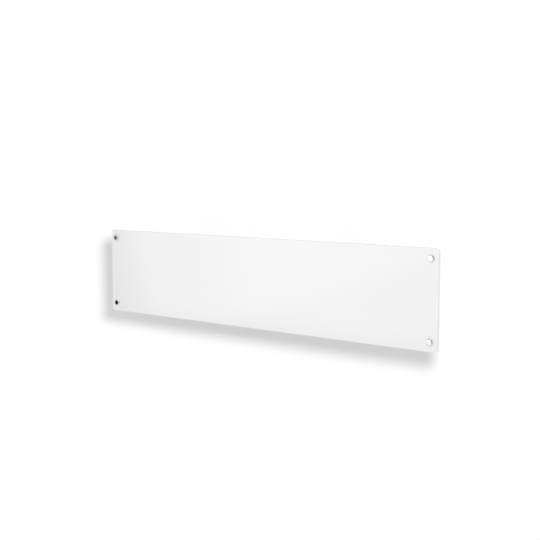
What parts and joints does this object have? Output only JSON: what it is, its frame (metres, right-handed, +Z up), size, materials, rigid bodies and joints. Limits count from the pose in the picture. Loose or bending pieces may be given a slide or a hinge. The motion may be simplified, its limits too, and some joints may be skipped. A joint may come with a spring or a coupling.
{
  "type": "wall panel heater",
  "caption": "Low wall-mounted panel heater: white glass front held by round chrome caps over a folded steel casing that tilts forward on its wall bracket.",
  "frame": {"origin": "centre of the four wall holes, on the wall plane", "axes": "+Z up, -Y out of the wall towards the room, +X the user's right"},
  "size_m": [1, 0.0959, 0.22],
  "materials": {
    "galvanised": "galvanised",
    "pin_steel": "zinc plated",
    "pad_rubber": "matt",
    "catch_plastic": "moulded",
    "white_glass": "polished face, white behind",
    "chrome": "polished",
    "clear_washer": "soft clear washer",
    "spacer_rubber": "matt",
    "zinc_steel": "zinc plated",
    "white_steel": "white powder coat",
    "grille_aluminium": "satin anodised",
    "bare_steel": "galvanised",
    "shield_aluminium": "bright rolled",
    "fin_aluminium": "mill finish",
    "rod_steel": "drawn sheath",
    "white_ceramic": "fired",
    "cutout_plastic": "moulded",
    "grommet_rubber": "matt",
    "white_plastic": "fine texture",
    "window_plastic": "tinted",
    "display_plastic": "moulded",
    "green_board": "solder mask",
    "blue_board": "solder mask",
    "keypad_rubber": "silicone",
    "ivory_plastic": "moulded",
    "sensor_plastic": "dipped bead",
    "wire_rubber": "sleeved wire",
    "gland_plastic": "moulded",
    "switch_plastic": "moulded",
    "rocker_plastic": "moulded"
  },
  "bodies": {
    "bracket": {"wall_rail": "galvanised", "bracket_arm_left": "galvanised", "bracket_arm_right": "galvanised", "hinge_pins": "pin_steel", "catch_pins": "pin_steel", "arm_pads": "pad_rubber"},
    "heater": {"hook_rivets": "pin_steel", "casing_hooks": "pin_steel", "catch_strikers": "pin_steel", "glass_panel": "white_glass", "glass_caps": "chrome", "cap_washers": "clear_washer", "glass_spacers": "spacer_rubber", "glass_studs": "zinc_steel", "stud_nuts": "zinc_steel", "plate_screws": "zinc_steel", "end_screws": "zinc_steel", "carrier_plate": "white_steel", "rear_shell": "white_steel", "end_panel_left": "white_steel", "end_panel_right": "white_steel", "inlet_grille": "white_steel", "outlet_grille": "grille_aluminium", "bulkhead": "bare_steel", "element_hangers": "bare_steel", "heat_shield": "shield_aluminium", "element_fins": "fin_aluminium", "element_rod": "rod_steel", "element_insulators": "white_ceramic", "thermal_cutout": "cutout_plastic", "bulkhead_grommet": "grommet_rubber", "control_housing": "white_plastic", "display_window": "window_plastic", "display_module": "display_plastic", "control_board": "green_board", "power_board": "green_board", "wireless_module": "blue_board", "keypad": "keypad_rubber", "board_posts": "ivory_plastic", "terminal_block": "ivory_plastic", "sensor_clip": "ivory_plastic", "wire_clips": "ivory_plastic", "room_sensor": "sensor_plastic", "wiring": "wire_rubber", "cord_gland": "gland_plastic", "gland_nut": "gland_plastic", "switch_housing": "switch_plastic"},
    "catch_left": {"catch_left": "catch_plastic"},
    "catch_right": {"catch_right": "catch_plastic"},
    "button_power": {"button_power": "white_plastic"},
    "button_minus": {"button_minus": "white_plastic"},
    "button_plus": {"button_plus": "white_plastic"},
    "button_mode": {"button_mode": "white_plastic"},
    "rocker": {"mains_rocker": "rocker_plastic"}
  },
  "joints": [
    {"name": "tilt", "type": "hinge", "parent": "bracket", "child": "heater", "pos_m": [0, -0.011, -0.066], "axis": [1, 0, 0], "range_deg": [0, 30]},
    {"name": "catch_left_lower", "type": "hinge", "parent": "bracket", "child": "catch_left", "pos_m": [-0.22, -0.012, 0.076], "axis": [1, 0, 0], "range_deg": [0, 20]},
    {"name": "catch_right_lower", "type": "hinge", "parent": "bracket", "child": "catch_right", "pos_m": [0.22, -0.012, 0.076], "axis": [1, 0, 0], "range_deg": [0, 20]},
    {"name": "power_press", "type": "slide", "parent": "heater", "child": "button_power", "axis": [0, 0, -1], "range_m": [0, 0.0008], "stiffness_N_per_m": 1200},
    {"name": "minus_press", "type": "slide", "parent": "heater", "child": "button_minus", "axis": [0, 0, -1], "range_m": [0, 0.0008], "stiffness_N_per_m": 1200},
    {"name": "plus_press", "type": "slide", "parent": "heater", "child": "button_plus", "axis": [0, 0, -1], "range_m": [0, 0.0008], "stiffness_N_per_m": 1200},
    {"name": "mode_press", "type": "slide", "parent": "heater", "child": "button_mode", "axis": [0, 0, -1], "range_m": [0, 0.0008], "stiffness_N_per_m": 1200},
    {"name": "mains_rock", "type": "hinge", "parent": "heater", "child": "rocker", "pos_m": [0.4504, -0.05, -0.058], "axis": [0, 1, 0], "range_deg": [0, 14]}
  ]
}
